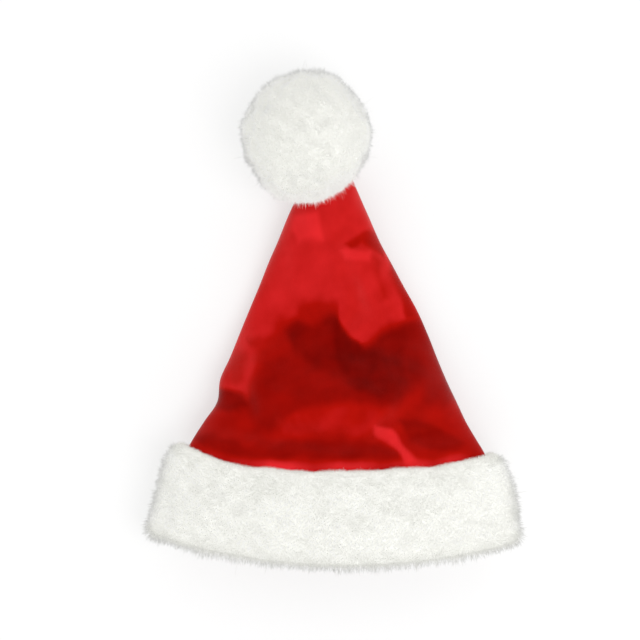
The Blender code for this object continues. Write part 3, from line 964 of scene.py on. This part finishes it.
class PLUSHHAT_OT_crown(Operator):
    """Adds the red cone of velour"""

    bl_idname = "plush_hat.crown"
    bl_label = "Add crown"

    def execute(self, context):
        settings = context.scene.plush_hat.crown
        places, pattern, nap = crown_points(settings)
        crown = tube_with_tips("crown_cloth", places, pattern, satin_velour(settings))
        # The painted shade map, at the even level at the two tips
        shades = np.concatenate([nap.ravel(), [SHADE_LEVEL, SHADE_LEVEL]]) / SHADE_TOP
        layer = crown.data.attributes.new(SHADE_MAP, "FLOAT", "POINT")
        layer.data.foreach_set("value", shades.astype(np.float32))
        own(crown, "crown_fabric", "crown")
        return {"FINISHED"}


class PLUSHHAT_OT_cuff(Operator):
    """Adds the cuff's plush body and its pile"""

    bl_idname = "plush_hat.cuff"
    bl_label = "Add cuff"

    def execute(self, context):
        plush = context.scene.plush_hat.plush
        rows, columns = CUFF_GRID
        skin = cuff_outside(rows, columns)
        along = np.linspace(CUFF_SECTION[-1]["down"], CUFF_SECTION[0]["down"], LINING_ROWS + 2)[1:-1]
        turns = np.linspace(0, 2 * math.pi, columns, endpoint=False)
        grid = np.meshgrid(SEAM_ALONG + along * CUFF_HEIGHT / FAN_RADIUS, turns, indexing="ij")
        lining = crown_surface(*grid) + crown_normal(*grid) * GAP
        body = np.concatenate([skin, lining])
        ground = plush_ground(plush)
        quads = grid_faces(len(body), columns, wrap_rows=True)
        piece = new_piece("cuff_body", body.reshape(-1, 3), [quads], ground)
        own(piece, "white_plush", "cuff")
        fibre = plush_fibre(plush)
        pieces = [
            ("upper_left", math.pi / 2, math.pi),
            ("upper_right", 0, math.pi / 2),
            ("under", math.pi, 2 * math.pi),
        ]
        for seed, (name, start, end) in enumerate(pieces):
            rng = np.random.default_rng(CUFF_SEED + seed)
            places = cuff_outside(*CUFF_PILE_GRID, start, end)
            roots, normals = scatter(places, grid_normals(places, False), plush.cuff_fibres, rng, False)
            out = unit(roots * (1, 1, 0) - np.array([APEX_X, APEX_Y, 0]))
            # At the seam the pile is short and has no guard fibres. Along the lower edge these hang out in a
            # fringe, past the crimped fibres
            facing = (normals * out).sum(1)
            guard = standing(normals, CUFF_GUARD_SHARE * plush.guard, CUFF_GUARD_FADE, rng)
            guard &= facing > CUFF_GUARD_FACING
            edge = np.clip(facing * EDGE_RATE, -1, 1)
            trim = 1 + CUFF_TRIM * np.where(guard, edge, -np.abs(edge))
            # Painted shade: the pile greys as it turns to face the seam and the lower edge
            grey = np.clip(-SEAM_SHADE_RATE * facing - SHADE_START, 0, 1)
            grey += np.clip(EDGE_SHADE_RATE * facing - SHADE_START, 0, 1)
            curl = np.where(guard, CUFF_GUARD_CURL, 1.0)[:, None] * plush.curl
            lean = CUFF_LEAN * out + curl * rng.normal(0, 1, roots.shape)
            directions = tufted(unit(normals + lean), roots, CUFF_CLUMP, CUFF_CLUMP_LEAN, rng)
            lengths = fibre_lengths(plush.cuff_length, roots, guard, plush.guard_length, rng) * trim
            widths = plush.fibre * np.where(guard, plush.guard_width, 1)
            pile = fibres(f"cuff_pile_{name}", roots, directions, lengths, widths, guard, grey, fibre, rng)
            own(pile, "white_plush")
        return {"FINISHED"}


class PLUSHHAT_OT_pompom(Operator):
    """Adds the pompom's plush body and its pile"""

    bl_idname = "plush_hat.pompom"
    bl_label = "Add pompom"

    def execute(self, context):
        plush = context.scene.plush_hat.plush
        low, high = (np.array(corner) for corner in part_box("pompom"))
        middle = (low + high) / 2
        places = pompom_surface(middle, *POMPOM_GRID)
        ground = bpy.data.materials.get("knitted_polyester_ground") or plush_ground(plush)
        # The first and last rows lie on the poles, so one point of each closes the body
        rings = places[1:-1]
        points = np.concatenate([rings.reshape(-1, 3), [places[0, 0], places[-1, 0]]])
        face_sets = [grid_faces(*rings.shape[:2]), *end_fans(*rings.shape[:2])]
        piece = new_piece("pompom_body", points, face_sets, ground)
        own(piece, "white_plush", "pompom")
        fibre = bpy.data.materials.get("crimped_polyester_pile") or plush_fibre(plush)
        normals = grid_normals(places, True)
        half = len(places) // 2
        halves = [("under", slice(0, half + 1)), ("upper", slice(half, None))]
        for seed, (name, part) in enumerate(halves):
            rng = np.random.default_rng(POMPOM_SEED + seed)
            roots, outward = scatter(places[part], normals[part], plush.pompom_fibres, rng, True)
            guard = standing(outward, plush.guard, POMPOM_GUARD_FADE, rng)
            curl = np.where(guard, POMPOM_GUARD_CURL, 1.0)[:, None] * plush.curl
            lean = curl * rng.normal(0, 1, roots.shape)
            # Towards the brim the pile hangs out over the crown in a fringe
            over_crown = np.clip(-outward[:, 1] * 2 - 1, 0, 1)
            over_crown = over_crown * np.clip((roots[:, 2] - FRINGE_FROM) / FRINGE_RISE, 0, 1)
            strength = POMPOM_CLUMP_LEAN + FRINGE_LEAN * over_crown[:, None]
            directions = tufted(unit(outward + lean), roots, POMPOM_CLUMP, strength, rng)
            lengths = fibre_lengths(plush.pompom_length, roots, guard, plush.guard_length, rng)
            lengths *= 1 + over_crown * rng.uniform(-FRINGE_VARIATION, FRINGE_VARIATION, len(roots))
            lengths *= 1 + parting(unit(roots - middle)) * rng.uniform(0.0, PARTING_LENGTH, len(roots))
            guard &= over_crown < 0.2
            widths = plush.fibre * (np.where(guard, plush.guard_width, 1) + FRINGE_WIDTH * over_crown)
            # Painted shade: the pompom's pile is greyer towards its top
            grey = POMPOM_TOP_SHADE * np.clip(outward[:, 2], 0, 1)
            pile = fibres(f"pompom_pile_{name}", roots, directions, lengths, widths, guard, grey, fibre, rng)
            own(pile, "white_plush")
        return {"FINISHED"}


def parting(rays):
    """How deep in the pompom's parting a ray lies, up to 1: a Gaussian of its distance from PARTING_WAY."""
    return np.exp(-((np.linalg.norm(rays - unit(np.array(PARTING_WAY)), axis=-1) / PARTING_REACH) ** 2))


def pompom_surface(middle, rows, columns):
    """The pompom's body: an ellipsoid by angle from its lowest point and turn, with lumps and the parting."""
    polar, turn = np.meshgrid(
        np.linspace(math.pi, 0, rows), np.linspace(0, 2 * math.pi, columns, endpoint=False), indexing="ij"
    )
    rays = np.stack([np.sin(polar) * np.cos(turn), np.sin(polar) * np.sin(turn), np.cos(polar)], -1)
    places = rays * POMPOM_RADII
    rise = lumps(POMPOM_LUMPS, places) - PARTING_DEPTH * parting(rays)
    places = middle + places + rays * rise[..., None]
    places[..., 2] = np.maximum(places[..., 2], POMPOM_FLOOR)
    return places


class PLUSHHAT_OT_stage(Operator):
    """Adds the pale floor, the soft lights and the camera"""

    bl_idname = "plush_hat.stage"
    bl_label = "Add stage"

    def execute(self, context):
        stage = context.scene.plush_hat.stage
        scene = context.scene
        half = stage.floor / 2
        corners = np.array([[-half, -half, 0], [half, -half, 0], [half, half, 0], [-half, half, 0]])
        # Opal acrylic lit from below glows evenly, so what lies on it throws only a faint soft shadow
        table, _, _ = new_material(
            "lit_opal_acrylic",
            {
                "Base Color": stage.opal,
                "Roughness": 0.9,
                "Specular IOR Level": 0.1,
                "Emission Color": (1, 1, 1, 1),
                "Emission Strength": stage.glow,
            },
        )
        floor = new_piece("floor", corners, [np.array([[0, 1, 2, 3]])], table)
        world = bpy.data.worlds.new("white_tent")
        world.use_nodes = True
        # The lamps stand round the tent, so its walls are brighter than its roof
        tree = world.node_tree
        place = add_node(tree, "ShaderNodeTexCoord")
        parts = add_node(tree, "ShaderNodeSeparateXYZ", links={"Vector": place.outputs["Generated"]})
        light = add_node(
            tree,
            "ShaderNodeMapRange",
            {"From Min": 0.0, "From Max": 1.0, "To Min": stage.tent_sides, "To Max": stage.tent_top},
            {"Value": parts.outputs["Z"]},
        )
        tree.nodes["Background"].inputs["Color"].default_value = (1, 1, 1, 1)
        tree.links.new(light.outputs["Result"], tree.nodes["Background"].inputs["Strength"])
        scene.world = world
        add_light("key", VIEW_MIDDLE, watts=stage.key_watts, **KEY_LIGHT)
        camera = bpy.data.objects.new("camera", bpy.data.cameras.new("camera"))
        scene.collection.objects.link(camera)
        camera.location = (VIEW_MIDDLE[0], VIEW_MIDDLE[1], stage.height)
        camera.data.lens = CAMERA_LENS
        camera.data.sensor_width = CAMERA_SENSOR
        camera.data.clip_end = CAMERA_REACH
        scene.camera = camera
        scene.view_settings.view_transform = "Standard"
        return {"FINISHED"}


def add_light(name, middle, azimuth, elevation, distance, size, watts):
    """A square soft box that faces the middle from a compass turn (0 is +X, 90 is +Y) and a height angle."""
    lamp = bpy.data.lights.new(name, "AREA")
    lamp.size = size
    lamp.energy = watts
    light = bpy.data.objects.new(name, lamp)
    bpy.context.scene.collection.objects.link(light)
    turn, rise = math.radians(azimuth), math.radians(elevation)
    away = np.array([math.cos(turn) * math.cos(rise), math.sin(turn) * math.cos(rise), math.sin(rise)])
    light.location = middle + away * distance
    light.rotation_euler = (math.pi / 2 - rise, 0, turn + math.pi / 2)
    return light


class PLUSHHAT_PT_sidebar(Panel):
    """Lists the hat's builders and settings"""

    bl_label = "Plush hat"
    bl_space_type = "VIEW_3D"
    bl_region_type = "UI"
    bl_category = "Plush hat"

    def draw(self, context):
        for operator in OPERATORS:
            self.layout.operator(operator.bl_idname)
        hat = context.scene.plush_hat
        for group in (hat.crown, hat.plush, hat.stage):
            for name in group.bl_rna.properties.keys():
                if name not in ("rna_type", "name"):
                    self.layout.prop(group, name)


OPERATORS = (PLUSHHAT_OT_stage, PLUSHHAT_OT_crown, PLUSHHAT_OT_cuff, PLUSHHAT_OT_pompom)
CLASSES = (CrownSettings, PlushSettings, StageSettings, HatSettings, *OPERATORS, PLUSHHAT_PT_sidebar)


def register():
    """Registers the settings, the operators and the panel."""
    for cls in CLASSES:
        bpy.utils.register_class(cls)
    bpy.types.Scene.plush_hat = PointerProperty(type=HatSettings)


def unregister():
    """Takes everything back that register added."""
    del bpy.types.Scene.plush_hat
    for cls in reversed(CLASSES):
        bpy.utils.unregister_class(cls)


def main():
    register()
    bpy.ops.plush_hat.stage()
    bpy.ops.plush_hat.crown()
    bpy.ops.plush_hat.cuff()
    bpy.ops.plush_hat.pompom()


if __name__ == "__main__":
    main()
